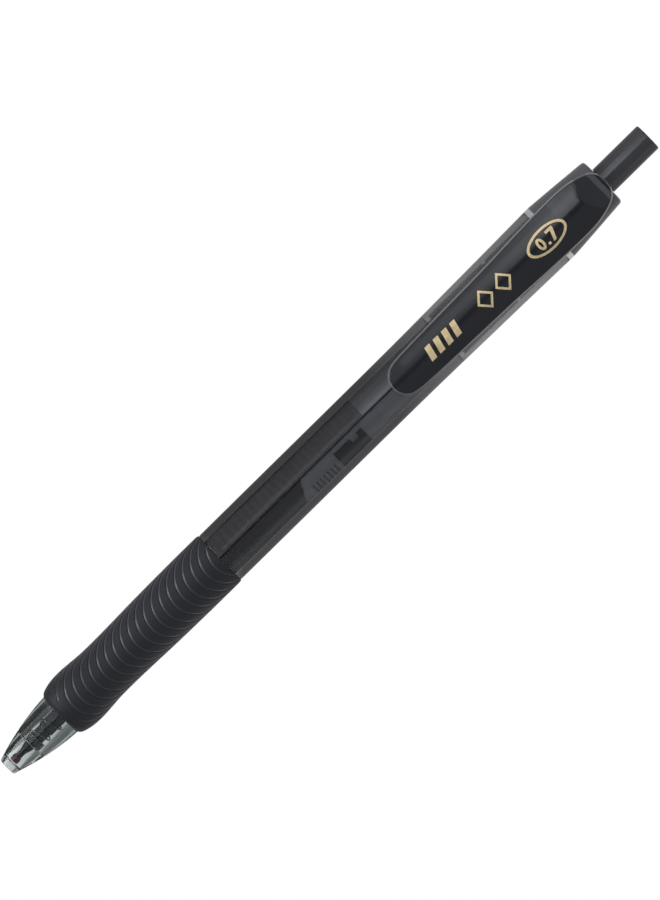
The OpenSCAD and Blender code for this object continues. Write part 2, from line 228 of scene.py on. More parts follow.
def skin(loops, closed=True):
    """Faces from each loop to the next, and from the last one to the first when closed."""
    after = loops[1:] + loops[:1] if closed else loops[1:]
    return [face for one, two in zip(loops, after) for face in strip(one, two)]


def lathe(outline, segments, shape=None):
    """Vertices and faces of a closed outline of (x, r) turned about the pen's centre line.
    shape(x, r, angle) may move each point."""
    verts = []
    rings = []
    for x, r in outline:
        if r < 1e-6:
            rings.append([len(verts)] * segments)
            verts.append(mm(x, 0, 0))
            continue
        rings.append(list(range(len(verts), len(verts) + segments)))
        for k in range(segments):
            a = TAU * k / segments
            px, pr = shape(x, r, a) if shape else (x, r)
            verts.append(mm(px, pr * math.sin(a), pr * math.cos(a)))
    return verts, skin(rings)


def merge(*parts):
    """Several (verts, faces) as one."""
    verts = []
    faces = []
    for v, f in parts:
        base = len(verts)
        verts.extend(v)
        faces.extend([[i + base for i in face] for face in f])
    return verts, faces


def sweep(path, across, radius, sides):
    """A round wire along a path of points, its radius in metres. across gives one direction
    across the wire at each point."""
    verts = []
    rings = []
    for i, (p, a) in enumerate(zip(path, across)):
        before = path[max(i - 1, 0)]
        after = path[min(i + 1, len(path) - 1)]
        b = (after - before).normalized().cross(a).normalized()
        rings.append(list(range(len(verts), len(verts) + sides)))
        for k in range(sides):
            t = TAU * k / sides
            verts.append(p + (a * math.cos(t) + b * math.sin(t)) * radius)
    return verts, skin(rings, closed=False) + [rings[0], rings[-1]]


def eye(reach, hole, y0, y1):
    """A plate across the pen round the clip's hinge, with softened edges. reach(angle) is how
    far it goes from the hinge in each direction, and hole is the radius of its hole."""
    steps = 64
    soft = 0.1

    def bore(a):
        return hole

    def drawn_in(a):
        return reach(a) - soft

    levels = [
        (bore, y0), (drawn_in, y0), (reach, y0 + soft), (reach, y1 - soft), (drawn_in, y1),
        (bore, y1),
    ]
    verts = []
    rings = []
    for radius, y in levels:
        rings.append(list(range(len(verts), len(verts) + steps)))
        for k in range(steps):
            a = TAU * k / steps
            r = radius(a)
            verts.append(mm(PIVOT[0] + r * math.cos(a), y, PIVOT[1] + r * math.sin(a)))
    return verts, skin(rings)


# ---------------------------------------------------------------- materials


def shade(colour, k=1):
    """A colour times k, as a shader socket takes it."""
    return [c * k for c in colour] + [1]


def two_looks(tree, lent, seen, out):
    """Shows the shader seen to the camera, and the shader lent to everything else."""
    path = tree.nodes.new("ShaderNodeLightPath")
    both = tree.nodes.new("ShaderNodeMixShader")
    tree.links.new(path.outputs["Is Camera Ray"], both.inputs[0])
    tree.links.new(lent.outputs[0], both.inputs[1])
    tree.links.new(seen.outputs[0], both.inputs[2])
    tree.links.new(both.outputs[0], tree.nodes[out].inputs["Surface"])


class Nodes:
    """A new material with a Principled shader and short ways to add to it. The values set
    sockets of that shader, with _ for a space in a socket's name."""

    def __init__(self, name, **values):
        self.material = bpy.data.materials.new(name)
        self.material.use_nodes = True
        self.tree = self.material.node_tree
        self.shader = self.tree.nodes["Principled BSDF"]
        for key, value in values.items():
            self.shader.inputs[key.replace("_", " ")].default_value = value

    def add(self, kind, **inputs):
        """A new node with some of its inputs set or linked."""
        node = self.tree.nodes.new(kind)
        for key, value in inputs.items():
            self.join(value, node.inputs[key.replace("_", " ")])
        return node

    def join(self, value, socket):
        """Links an output to the socket, or sets the socket to a number or a colour."""
        if hasattr(value, "is_output"):
            self.tree.links.new(value, socket)
        else:
            socket.default_value = value

    def place(self, scale=(1, 1, 1)):
        """The point on the surface, in metres of the shared frame, scaled."""
        where = self.add("ShaderNodeTexCoord").outputs["Object"]
        mapping = self.add("ShaderNodeMapping", Vector=where)
        mapping.inputs["Scale"].default_value = scale
        return mapping.outputs["Vector"]

    def noise(self, scale, detail=3.0, stretch=(1, 1, 1)):
        """Soft noise of about 0.3 to 0.7. A small stretch draws it out along that axis."""
        node = self.add("ShaderNodeTexNoise", Vector=self.place(stretch), Scale=scale, Detail=detail)
        return node.outputs["Fac"]

    def ranged(self, value, low, high, start=0.3, end=0.7):
        """Goes evenly from low to high while the value goes from start to end."""
        node = self.add("ShaderNodeMapRange", Value=value)
        node.inputs["From Min"].default_value = start
        node.inputs["From Max"].default_value = end
        self.join(low, node.inputs["To Min"])
        self.join(high, node.inputs["To Max"])
        return node.outputs["Result"]

    def mix(self, factor, one, two):
        """A colour between two others."""
        node = self.tree.nodes.new("ShaderNodeMix")
        node.data_type = "RGBA"
        self.join(factor, node.inputs["Factor"])
        self.join(one, node.inputs[6])
        self.join(two, node.inputs[7])
        return node.outputs[2]

    def bump(self, height, distance, strength=1.0):
        """Relief, where a height of 1 stands for this distance in metres."""
        node = self.add("ShaderNodeBump", Height=height, Strength=strength, Distance=distance)
        self.tree.links.new(node.outputs["Normal"], self.shader.inputs["Normal"])

    def roughness(self, value):
        self.join(value, self.shader.inputs["Roughness"])

    def colour(self, value):
        self.join(value, self.shader.inputs["Base Color"])


def moulded(name, colour, rough, mottle=0.12, wave=2e-6):
    """Solid moulded plastic: a slightly uneven colour, gloss and surface."""
    m = Nodes(name, Specular_IOR_Level=0.5, IOR=1.5)
    broad = m.noise(260, 2.0, (0.25, 1, 1))
    m.colour(m.mix(m.ranged(broad, 0, 1), shade(colour, 1 - mottle), shade(colour, 1 + mottle)))
    m.roughness(m.ranged(m.noise(900, 4.0), rough * 0.85, rough * 1.2))
    m.bump(m.noise(420, 2.0, (0.3, 1, 1)), wave)
    return m.material


def clear(name, tint, rough, depth=None):
    """See-through plastic, uneven along the flow of the mould. depth is (colour, density) of the
    dye in it, for a plastic that darkens with its thickness."""
    m = Nodes(name, Transmission_Weight=1.0, IOR=1.49)
    flow = m.noise(330, 3.0, (0.08, 1, 1))
    m.colour(m.mix(m.ranged(flow, 0, 1), shade(tint, 0.95), shade(tint)))
    m.roughness(m.ranged(m.noise(700, 3.0), rough * 0.7, rough * 1.3))
    if depth:
        dye = m.add("ShaderNodeVolumeAbsorption", Color=shade(depth[0]), Density=depth[1])
        m.tree.links.new(dye.outputs[0], m.tree.nodes["Material Output"].inputs["Volume"])
    return m.material


def metal(name, colour, rough, turned=False):
    """Drawn wire or turned metal, with fine tool lines across X when it is turned."""
    m = Nodes(name, Metallic=1.0)
    lines = m.noise(2600, 2.0, (3, 0.05, 0.05) if turned else (1, 1, 1))
    m.colour(m.mix(m.ranged(lines, 0, 1), shade(colour, 0.8), shade(colour)))
    m.roughness(m.ranged(lines, rough * 0.7, rough * 1.3))
    m.bump(lines, 2e-6)
    return m.material


def rubber(name, dark, light, rough, painted_highlight=None):
    """Rubber with a fine grain and a dusty bloom between a dark and a light tone. The last argument
    is a painted highlight: a lighter colour on the +Y side and, lighter still, low on the -Y side."""
    m = Nodes(name, Specular_IOR_Level=0.5, Sheen_Weight=0.3, Sheen_Roughness=0.4)
    bloom = m.noise(240, 4.0, (0.4, 1, 1))
    colour = m.mix(m.ranged(bloom, 0, 1), shade(dark), shade(light))
    # painted highlight: lighter on the +Y side, and lighter still low on the -Y side
    if painted_highlight:
        y = m.add("ShaderNodeSeparateXYZ", Vector=m.place()).outputs["Y"]
        colour = m.mix(m.ranged(y, 0, 1, -0.002, 0.002), colour, shade(painted_highlight))
        colour = m.mix(m.ranged(y, 1, 0, -0.0042, -0.0032), colour, shade(painted_highlight, 2.4))
    m.colour(colour)
    m.roughness(m.ranged(bloom, rough, rough + 0.06))
    m.bump(m.noise(5200, 3.0), 6e-6, 0.5)
    return m.material


def grease():
    """Milky grease behind the ink, with painted shade that makes its +Y side greyer."""
    m = Nodes("grease_milky", Specular_IOR_Level=0.5)
    across = m.add("ShaderNodeSeparateXYZ", Vector=m.place())
    # painted shade: the +Y side of the grease is mixed towards a dark grey
    shaded_side = m.ranged(across.outputs["Y"], 0, 1, 0.0004, 0.0018)
    cloudy = m.mix(m.ranged(m.noise(300), 0, 1), (0.8, 0.82, 0.86, 1), (0.9, 0.92, 0.96, 1))
    m.colour(m.mix(shaded_side, cloudy, (0.2, 0.21, 0.23, 1)))
    m.roughness(m.ranged(m.noise(700), 0.25, 0.35))
    return m.material


def label():
    """Printed paper: brown-grey with fine upright lines."""
    m = Nodes("label_print", Specular_IOR_Level=0.3)
    wave = m.add("ShaderNodeTexWave", Vector=m.place(), Scale=240.0, Distortion=2.5, Detail=2.0)
    printed = m.ranged(wave.outputs["Fac"], 0, 0.7, 0.2, 0.9)
    paper = m.mix(m.ranged(m.noise(150), 0, 1), (0.04, 0.033, 0.031, 1), (0.055, 0.046, 0.044, 1))
    m.colour(m.mix(printed, paper, (0.02, 0.018, 0.019, 1)))
    m.roughness(m.ranged(m.noise(800), 0.5, 0.65))
    return m.material


def foil():
    """Hot-stamped gold foil: a bright metal with a faint crinkle and uneven tone."""
    m = Nodes("gold_foil", Metallic=0.85)
    crinkle = m.noise(2400, 3.0)
    m.colour(m.mix(m.ranged(crinkle, 0, 1), (0.86, 0.63, 0.31, 1), (1.0, 0.87, 0.55, 1)))
    m.roughness(m.ranged(crinkle, 0.42, 0.58))
    m.bump(crinkle, 4e-6)
    return m.material


def floor_paper():
    """White floor. The light it lends to the pen is softer than the white that the camera sees:
    strongest under the pen, and on both sides of it weak beside the nose and the barrel and
    stronger beside the grip and the cap."""
    m = Nodes(
        "floor_white", Base_Color=shade((0, 0, 0)), Emission_Color=shade((1, 1, 1)),
        Roughness=0.9, Specular_IOR_Level=0.0,
    )
    where = m.add("ShaderNodeSeparateXYZ", Vector=m.place())
    x = where.outputs["X"]

    def beside(nose, grip, barrel, cap):
        """The light lent beside each part of the pen, from the nose to the cap."""
        front = m.ranged(x, nose, grip, -0.062, -0.056)
        middle = m.ranged(x, front, barrel, -0.03, -0.024)
        return m.ranged(x, middle, cap, 0.012, 0.03)

    low_side = beside(0.17, 0.65, 0.17, 0.45)
    high_side = beside(0.05, 0.52, 0.13, 0.36)
    low_half = m.ranged(where.outputs["Y"], low_side, 0.7, -0.0045, -0.003)
    lent = m.ranged(where.outputs["Y"], low_half, high_side, 0.002, 0.0028)
    m.join(lent, m.shader.inputs["Emission Strength"])
    two_looks(m.tree, m.shader, m.add("ShaderNodeEmission"), "Material Output")
    return m.material


NOSE_CLEAR = clear("nose_clear", (0.95, 0.97, 0.97), 0.02, depth=((0.29, 0.41, 0.41), 240))
BARREL_SMOKE = clear("barrel_smoke", (0.97, 0.97, 0.98), 0.03, depth=((0.27, 0.28, 0.3), 520))
RING_CLEAR = clear("ring_clear", (0.96, 0.98, 1.0), 0.04)
GUIDE = clear("guide_natural", (0.8, 0.8, 0.82), 0.2, depth=((0.4, 0.4, 0.42), 500))
TUBE_CLEAR = clear("tube_clear", (0.97, 0.97, 0.98), 0.04)
GREASE = grease()
CAP_DARK = moulded("cap_dark", (0.105, 0.105, 0.112), 0.2)
BUTTON_DARK = moulded("button_dark", (0.05, 0.05, 0.053), 0.18)
CLIP_BLACK = moulded("clip_black", (0.0158, 0.0164, 0.0195), 0.13, wave=3e-6)
# a lighter grey for the clip's edge wall: a painted highlight along its rounded edge
CLIP_EDGE_PAINTED_HIGHLIGHT = moulded("clip_edge_painted_highlight", (0.2, 0.2, 0.21), 0.2)
WHITE_CAM = moulded("cam_natural", (0.6, 0.6, 0.57), 0.4)
NECK_DARK = moulded("neck_dark", (0.02, 0.026, 0.025), 0.3)
WAX_RED = moulded("wax_red", (0.13, 0.012, 0.018), 0.55, mottle=0.3)
INK_BLACK = moulded("ink_black", (0.006, 0.0075, 0.009), 0.2)
# near-black for the dark line along the refill
DARK_STRIP = moulded("print_dark", (0.012, 0.016, 0.018), 0.5)
NICKEL = metal("nickel_turned", (0.026, 0.026, 0.028), 0.26, turned=True)
SPRING_STEEL = metal("spring_bright", (0.16, 0.16, 0.17), 0.22)
BALL_STEEL = metal("ball_polished", (0.75, 0.75, 0.77), 0.1)
RUBBER = rubber("grip_rubber", (0.009, 0.0098, 0.0138), (0.014, 0.0148, 0.0195), 0.56)
# the sides of the grooves that face the tip, painted lighter than the rubber as a painted highlight
RUBBER_LIP_PAINTED_HIGHLIGHT = rubber(
    "groove_lip_painted_highlight", (0.02, 0.021, 0.025), (0.03, 0.031, 0.036), 0.32, painted_highlight=(0.075, 0.078, 0.087)
)
LABEL = label()
FOIL = foil()

# ---------------------------------------------------------------- body

# the nose's spigot with its thread, and the seat of the return spring inside the nose
SPIGOT_R = 3.1
THREAD_PITCH = 1.2
THREAD_START = 12.9
THREAD_END = 18.8
SPRING_SEAT = 5.35


def nose_shape(x, r, a):
    """Cuts the screw thread into the spigot behind the cone."""
    if x < THREAD_START or r < SPIGOT_R - 0.2:
        return x, r
    turn = (x / THREAD_PITCH - a / TAU) % 1
    depth = 0.22 * max(0.0, 1 - abs(turn - 0.5) / 0.3)
    fade = min(1, (x - THREAD_START) / 0.4, (THREAD_END - x) / 0.4)
    return x, r - depth * max(0, fade)


def nose_outline():
    """The cone with a fine line round it, the spigot, and the hollow with the spring's seat."""
    cone = [(x, nose_r(x)) for x in spread(0.42, 5.4, 26)]
    cone += [(5.45, nose_r(5.45) - 0.045), (5.59, nose_r(5.59) - 0.045)]
    cone += [(x, nose_r(x)) for x in spread(5.64, NOSE_LENGTH - 0.06, 26)]
    spigot = [(x, SPIGOT_R) for x in spread(12.16, 18.7, 60)]
    hollow = [
        (19, 2.4, 0.1), (SPRING_SEAT, 2.4, 0.12), (SPRING_SEAT, 1.65, 0.1), (1.5, 1.65, 0.2),
        (1.05, 1.15, 0.15),
    ]
    return rounded(
        [(0, 1.17, 0.05), (0, 1.5, 0.28), (0.42, nose_r(0.42))]
        + cone
        + [(NOSE_LENGTH, nose_r(NOSE_LENGTH), 0.05), (NOSE_LENGTH, SPIGOT_R)]
        + spigot
        + [(19, 2.85)]
        + hollow
    )


make("nose", *lathe(nose_outline(), 160, nose_shape), "nose", NOSE_CLEAR, "clear_nose", ["nose_cone"])

# the grooves of the grip: their pitch, the place of one near the front, how far they lean along
# the pen for each millimetre across it, how they are rolled round it, how many there are, and
# the radius of the grip that the lean goes by
PITCH = 1.776
FIRST_GROOVE = 5.68
LEAN = math.tan(math.radians(46.5))
GROOVE_ROLL = math.radians(4)
GROOVES = 33
GRIP_R = 5.0
GRIP_SEGMENTS = 144

# (part of the pitch, depth) of one groove, and (x, r) of the inside of the sleeve
GROOVE = [
    (0, 0.1), (0.02, 0.096), (0.15, 0.008), (0.175, 0), (0.3, 0), (0.45, 0), (0.6, 0), (0.75, 0),
    (0.89, 0), (0.935, 0.01), (0.96, 0.06), (0.975, 0.096),
]
GRIP_BORE = [(GRIP_END, 4.27), (17, 4.27), (13.2, 3.64), (GRIP_START, 3.62)]


def grip_mesh():
    """The rubber sleeve. Its rings follow the slanted grooves, so each groove stays crisp."""
    verts = []
    rings = []

    def ring(point):
        """Adds a ring, whose point(angle) is (x, r)."""
        rings.append(list(range(len(verts), len(verts) + GRIP_SEGMENTS)))
        for k in range(GRIP_SEGMENTS):
            a = TAU * k / GRIP_SEGMENTS
            x, r = point(a)
            verts.append(mm(x, r * math.sin(a), r * math.cos(a)))

    def slanted(middle, depth):
        """A ring of this depth that leans about its middle. The grooves fade out at both ends."""

        def point(a):
            x = middle - GRIP_R * LEAN * math.cos(a + GROOVE_ROLL)
            x = min(max(x, GRIP_START), GRIP_END)
            fade = min((x - 13.1) / 0.8, (GRIP_END - 0.1 - x) / 0.3, 1)
            return x, curve(GRIP, x) - depth * max(0, fade)

        return point

    ring(lambda a: GRIP[0])
    for k in range(GROOVES):
        for part, depth in GROOVE:
            ring(slanted(FIRST_GROOVE + PITCH * (k - 1 + part), depth))
    ring(lambda a: GRIP[-1])
    for corner in GRIP_BORE:
        ring(lambda a: corner)
    return verts, skin(rings)


def is_groove_lip(face):
    """The sloped side of a groove that faces the tip, which takes the painted highlight. The grooves
    fade out on the front shoulder, so no face there counts."""
    where = (face.center - mm(0, 0, 0)) * 1000
    depth = curve(GRIP, where.x) - math.hypot(where.y, where.z)
    return where.x > 13.7 and 0.004 < depth < 0.12 and face.normal.x < -0.1


make(
    "grip", *grip_mesh(), "barrel", RUBBER, "rubber", ["grip_sleeve"], angle=40,
    other=(RUBBER_LIP_PAINTED_HIGHLIGHT, is_groove_lip),
)


def barrel_outline():
    """The tube under the grip, the step behind it, the long see-through part and the bore."""
    outside = [(x, curve(BARREL, x)) for x in spread(48.5, BARREL_END - 0.08, 60)]
    return rounded(
        [(GRIP_START, 3.6, 0.05), (13.2, 3.61), (17, 4.24, 0.4), (48.22, 4.24)]
        + [(BARREL_START, 4.81, 0.06)]
        + outside
        + [(BARREL_END, 5.33), (BARREL_END, 4.35, 0.05), (98.6, 4.35, 0.08), (98.6, 3.85, 0.08)]
        + [(47.6, 3.85, 0.2), (47, 3.7, 0.2), (21, 3.7, 0.2), (20.4, 3.15, 0.2), (GRIP_START, 3.15)]
    )


make("barrel_tube", *lathe(barrel_outline(), 192), "barrel", BARREL_SMOKE, "smoke_barrel", ["barrel"])

band = rounded([(BARREL_END, 5.34, 0.05), (RING_END, 5.36, 0.05), (RING_END, 4.02), (BARREL_END, 4.02)])
make("clear_band", *lathe(band, 160), "barrel", RING_CLEAR, "clear_ring", ["clear_ring"])


def cap_mesh():
    """The cap, with two ears that carry the clip's hinge."""
    outside = [(x, curve(CAP, x)) for x in spread(RING_END + 0.1, CAP_END, 70)]
    shell = lathe(
        rounded(
            [(RING_END, 5.33)]
            + outside
            + [(CAP_END, 2.6, 0.12), (132.5, 2.6, 0.06), (132.5, 4.02, 0.2), (RING_END, 4.02)]
        ),
        160,
    )

    def ear(a):
        """Round above the hinge, wider and down into the cap below it, where a fine notch goes
        straight down."""
        x = abs(math.cos(a))
        z = math.sin(a)
        if z >= 0 or x < 1e-6:
            return 1.1
        return min(2.5 / -z, (1.1 + 0.35 * min(1, -z / x / 2)) / x)

    ears = [eye(ear, 0.6, y, y + 0.9) for y in (-2.4, 1.5)]
    return merge(shell, *ears)


make("cap", *cap_mesh(), "barrel", CAP_DARK, "dark_cap", ["rear_cap"])

button_outline = rounded([
    (126, 0), (126, 1.55, 0.1), (130.9, 1.55), (130.9, 3.3, 0.1), (132.35, 3.3, 0.1),
    (132.35, 2.2), (134.9, 2.2), (134.95, 2.5, 0.03), (BUTTON_END, 2.5, 0.34), (BUTTON_END, 0),
], 8)
make("push_button", *lathe(button_outline, 128), "button", BUTTON_DARK, "dark_button", ["button"])

# ---------------------------------------------------------------- refill

# radii of the refill's tube, its bore and its point, and where the pieces begin and end
TUBE_R = 3.6
BORE_R = 3.2
POINT_R = 1.0
TUBE_START = 29.2
TUBE_END = 105.1
NECK_END = 33
POINT_END = 10
INK_END = 66.4
GREASE_END = 101.9
COLUMN_R = BORE_R + 0.06

tube = [(TUBE_START, TUBE_R), (TUBE_END, TUBE_R), (TUBE_END, BORE_R), (TUBE_START, BORE_R)]
make("refill_wall", *lathe(tube, 128), "refill", TUBE_CLEAR, "clear_tube", ["refill_tube"])


def ink_end(x, r, a):
    """Slants the end of the ink, and the grease that lies against it."""
    if abs(x - INK_END) > 1:
        return x, r
    return x + 0.65 * r * math.sin(a), r


def column(start, end):
    """A solid filling that reaches a little into the tube's wall, so that no gap shows."""
    outline = [(start, 0), (start, COLUMN_R), (end, COLUMN_R), (end, 0)]
    return lathe(outline, 96, ink_end)


ink = column(NECK_END, INK_END)
grease_column = column(INK_END + 0.05, GREASE_END)
make("ink_column", *ink, "refill", INK_BLACK, "black_ink", ["ink"])
make("grease", *grease_column, "refill", GREASE, "clear_grease", ["ink_follower"])

neck_outline = rounded([
    (6.5, POINT_R), (6.5, 1.06), (7.1, 1.2, 0.1), (8.7, 1.2, 0.1), (8.9, 1.4, 0.1),
    (27.6, 1.42, 0.1), (28, 1.5, 0.05), (28, TUBE_R, 0.1), (TUBE_START, TUBE_R),
    (TUBE_START, BORE_R), (NECK_END, BORE_R), (NECK_END, 0.5), (POINT_END, 0.5),
    (POINT_END, POINT_R),
])
make("neck", *lathe(neck_outline, 96), "refill", NECK_DARK, "dark_neck", ["refill_neck"])

point_outline = rounded([
    (2.28, 0.33), (2.28, 0.4, 0.04), (2.55, 0.55, 0.1), (3.94, 0.55, 0.3), (4.8, 0.85, 0.3),
    (5.5, POINT_R, 0.3), (POINT_END, POINT_R), (POINT_END, 0.28), (2.72, 0.28), (2.6, 0.345),
])
make("metal_point", *lathe(point_outline, 64), "refill", NICKEL, "nickel_point", ["tip_point"])

wax_dome = [(2.06 - 0.88 * math.cos(a), 0.79 * math.sin(a) ** 0.4) for a in spread(0.12, 2.6, 24)]
wax_hollow = [(2.86, 0.6), (2.86, 0.57), (2.03, 0.57), (2.03, 0)]
bead_outline = [(1.18, 0)] + wax_dome + wax_hollow
make("wax", *lathe(bead_outline, 64), "bead", WAX_RED, "red_wax", ["wax_bead"])

# where the return spring's wire is after each number of turns: close coils at both ends
SPRING = [(0, 5.5), (5, 7.0), (13, 26.5), (17.5, 27.85)]


def return_spring():
    """The spring from its seat in the nose to the neck, in steps of a fortieth of a turn."""
    coil_r = 0.00166
    wire_r = 0.000145
    turns = SPRING[-1][0]
    path = []
    across = []
    for turn in spread(0, turns, int(turns * 40)):
        a = TAU * turn
        out = Vector((0, math.cos(a), math.sin(a)))
        centre = mm(line(SPRING, turn), 0, 0)
        path.append(centre + out * coil_r)
        across.append(out)
    return sweep(path, across, wire_r, 12)


spring = make("coil_spring", *return_spring(), "barrel", SPRING_STEEL, "spring_steel", ["return_spring"])
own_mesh(spring)

# ---------------------------------------------------------------- clip

# heights along the clip: its middle line, the slope that cuts it off at the rear, and its rim
TOP = [
    (CLIP_START, 7.2), (87.42, 7.5), (87.65, 7.72), (88.1, 7.95), (89, 8.15), (91, 8.31),
    (126, 9.475), (CLIP_END, 9.35),
]
REAR_SLOPE = [
    (CLIP_START, 20), (130.1, 9.42), (133.3, 8.33), (134.3, 7.85), (134.9, 7.42),
    (135.15, 7.12), (CLIP_END, 6.95),
]
BOTTOM = [
    (CLIP_START, 6.95), (120, 7.5), (129, 7.55), (132, 7.0), (134.2, 6.35), (CLIP_END, 6.25),
]

# radius of the crown across the clip, and the thickness of its roof
CROWN_R = 11.3
WALL = 0.85


def top_z(x, y):
    """Height of the clip's upper face, which is crowned across."""
    drop = CROWN_R - math.sqrt(CROWN_R * CROWN_R - y * y)
    return min(line(TOP, x) - drop, line(REAR_SLOPE, x))


def clip_shell():
    """Crowned leaf with a rounded edge and a hollow underside, from rings drawn in from its rim."""
    stations = 110
    cross = 18
    xs = [(0.5 - 0.5 * math.cos(a)) * CLIP_LENGTH for a in spread(0, math.pi, stations)]
    rim = [Vector((x, max(0.03, curve(LEAF, x)))) for x in xs]
    inward = []
    for i, p in enumerate(rim):
        t = (rim[min(i + 1, stations)] - rim[max(i - 1, 0)]).normalized()
        inward.append(Vector((t.y, -t.x)))
    inward[0] = Vector((1, 0))
    inward[-1] = Vector((-1, 0))

    def inset(i, d):
        """Place of a station (x, y), drawn in from the rim by d."""
        p = rim[i] + inward[i] * d
        return CLIP_START + min(max(p.x, d), CLIP_LENGTH - d), max(p.y, 0.02)

    def heights(x, y):
        """Heights of the upper face and of the lower rim."""
        high = top_z(x, y)
        return high, min(line(BOTTOM, x), high - 0.1)

    draft = 0.22
    soft = 0.16

    # levels: (how far in from the rim, which height it goes by, how far above or below that)
    outside = [(0.14, "low", 0.0), (0.04, "low", 0.04), (0.0, "low", 0.1)]
    for a in spread(math.radians(17), math.radians(90), 5):
        outside.append((draft + soft * (1 - math.cos(a)), "high", soft * (1 - math.sin(a))))
    inside = [(0.72, "low", 0.0), (0.85, "low", 0.12), (1.0, "roof", 0.0)]
    verts = []

    def height(x, y, kind, step):
        """Above the lower rim, below the upper face, or under the roof of the hollow."""
        high, low = heights(x, y)
        room = high - low
        if kind == "low":
            return low + min(step, room * 0.3)
        if kind == "high":
            return high - min(step, room * 0.45)
        return max(low + 0.02, high - WALL)

    def ring(d, kind, step):
        """Loop round the clip: back along its +Y side and forward along the other."""
        loop = []
        for side, order in ((1, range(stations + 1)), (-1, range(stations, -1, -1))):
            for i in order:
                x, y = inset(i, d)
                loop.append(len(verts))
                verts.append(mm(x, side * y, height(x, y, kind, step)))
        return loop

    def lid(loop, d, kind):
        """Rows across the clip that close the loop."""
        rows = []
        for i in range(stations + 1):
            x, y = inset(i, d)
            row = [loop[i]]
            for across in spread(y, -y, cross)[1:-1]:
                row.append(len(verts))
                verts.append(mm(x, across, height(x, across, kind, 0)))
            rows.append(row + [loop[2 * stations + 1 - i]])
        faces = []
        for one, two in zip(rows, rows[1:]):
            for k in range(cross):
                faces.append([one[k], two[k], two[k + 1], one[k + 1]])
        return faces

    outer = [ring(*level) for level in outside]
    top = lid(outer[-1], draft + soft, "high")
    inner = [outer[0]] + [ring(*level) for level in inside]
    roof = lid(inner[-1], inside[-1][0], "roof")
    return verts, skin(outer, closed=False) + top + skin(inner, closed=False) + roof


def clip_tooth():
    """The rounded bar under the front of the clip that rests on the barrel."""
    x, z = 91.1, 6.14
    top = 7.55
    verts = []
    rings = []
    for y, r in ((-1.7, 1.05), (-1.6, 1.2), (1.6, 1.2), (1.7, 1.05)):
        start = len(verts)
        for a in spread(math.pi, TAU, 24):
            verts.append(mm(x + r * math.cos(a), y, z + r * math.sin(a)))
        verts.append(mm(x + r, y, top))
        verts.append(mm(x - r, y, top))
        rings.append(list(range(start, len(verts))))
    return verts, skin(rings, closed=False) + [rings[0], rings[-1]]


def clip_mesh():
    """The leaf, the two lugs for the hinge pin and the tooth."""

    def lug(a):
        """Round below the hinge, square up to the leaf above it."""
        x, z = math.cos(a), math.sin(a)
        if z <= 0:
            return 1.15
        return min(1.15 / max(abs(x), 1e-6), 1.72 / z)

    lugs = [eye(lug, 0.66, y, y + 0.85) for y in (-3.35, 2.5)]
    return merge(clip_shell(), *lugs, clip_tooth())


def is_clip_edge(face):
    """The slanted wall round the clip, painted lighter grey as a painted highlight along the edge."""
    return 0.15 < face.normal.z < 0.45 and face.center.z > mm(0, 0, 6.2).z


make(
    "clip_leaf", *clip_mesh(), "clip", CLIP_BLACK, "black_clip", ["clip_lever"], angle=30,
    other=(CLIP_EDGE_PAINTED_HIGHLIGHT, is_clip_edge),
)


def hinge_spring():
    """The coils round the pin with the leg that rests on the cap, and the leg under the clip."""
    r = 0.85
    leg = 3.3
    half_width = 1.05
    first = math.radians(98)
    last = math.radians(4 * 360 + 256)

    def wire(stations):
        """Wire through (angle round the pin, y, distance along the tangent there)."""
        path = []
        across = []
        for a, y, s in stations:
            x = r * math.cos(a) - s * math.sin(a)
            z = r * math.sin(a) + s * math.cos(a)
            path.append(mm(PIVOT[0] + x, y, PIVOT[1] + z))
            across.append(Vector((math.cos(a), 0, math.sin(a))))
        return sweep(path, across, 0.00014, 10)

    turns = zip(spread(first, last, 160), spread(-half_width, half_width, 160))
    coils = [(a, y, 0) for a, y in turns]
    coils += [(last, half_width, s) for s in spread(0.3, leg, 3)]
    return wire(coils), wire([(first, -half_width, s) for s in spread(-leg, 0, 4)])


coils, clip_leg = hinge_spring()
make("hinge_spring", *coils, "barrel", SPRING_STEEL, "spring_steel", ["clip_spring"])
make("hinge_spring_leg", *clip_leg, "clip", SPRING_STEEL, "spring_steel")

# ---------------------------------------------------------------- pieces kept from the CAD

KEPT = {
    "cam_guide": GUIDE,
    "cam_plunger": WHITE_CAM,
    "rotor_cam": WHITE_CAM,
    "refill_plug": WHITE_CAM,
    "refill_label": LABEL,
    # refill_print is a dark line along the refill near the centre line
    "refill_print": DARK_STRIP,
    "tip_ball": BALL_STEEL,
    "clip_pin": SPRING_STEEL,
    "gold_bars": FOIL,
    "gold_lozenges": FOIL,
    "gold_size": FOIL,
}
for node, material in KEPT.items():
    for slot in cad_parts[node].material_slots:
        slot.material = material

# ---------------------------------------------------------------- stage


def lay_floor(half, drop):
    """A square floor with sides of twice half, a little under the pen."""
    mesh = bpy.data.meshes.new("floor")
    corners = [(-half, -half, -drop), (half, -half, -drop), (half, half, -drop), (-half, half, -drop)]
    mesh.from_pydata(corners, [], [[0, 1, 2, 3]])
    mesh.materials.append(floor_paper())
    obj = bpy.data.objects.new("floor", mesh)
    bpy.context.scene.collection.objects.link(obj)


lay_floor(3.0, 5e-5)


def posed(right, up, back, centre):
    """The matrix of a light or a camera from its own three axes and its place."""
    rows = [(right[i], up[i], back[i], centre[i]) for i in range(3)]
    return Matrix(rows + [(0, 0, 0, 1)])


# the white of daylight, a little cool
LIGHT_COLOUR = (0.965, 0.985, 1.04)


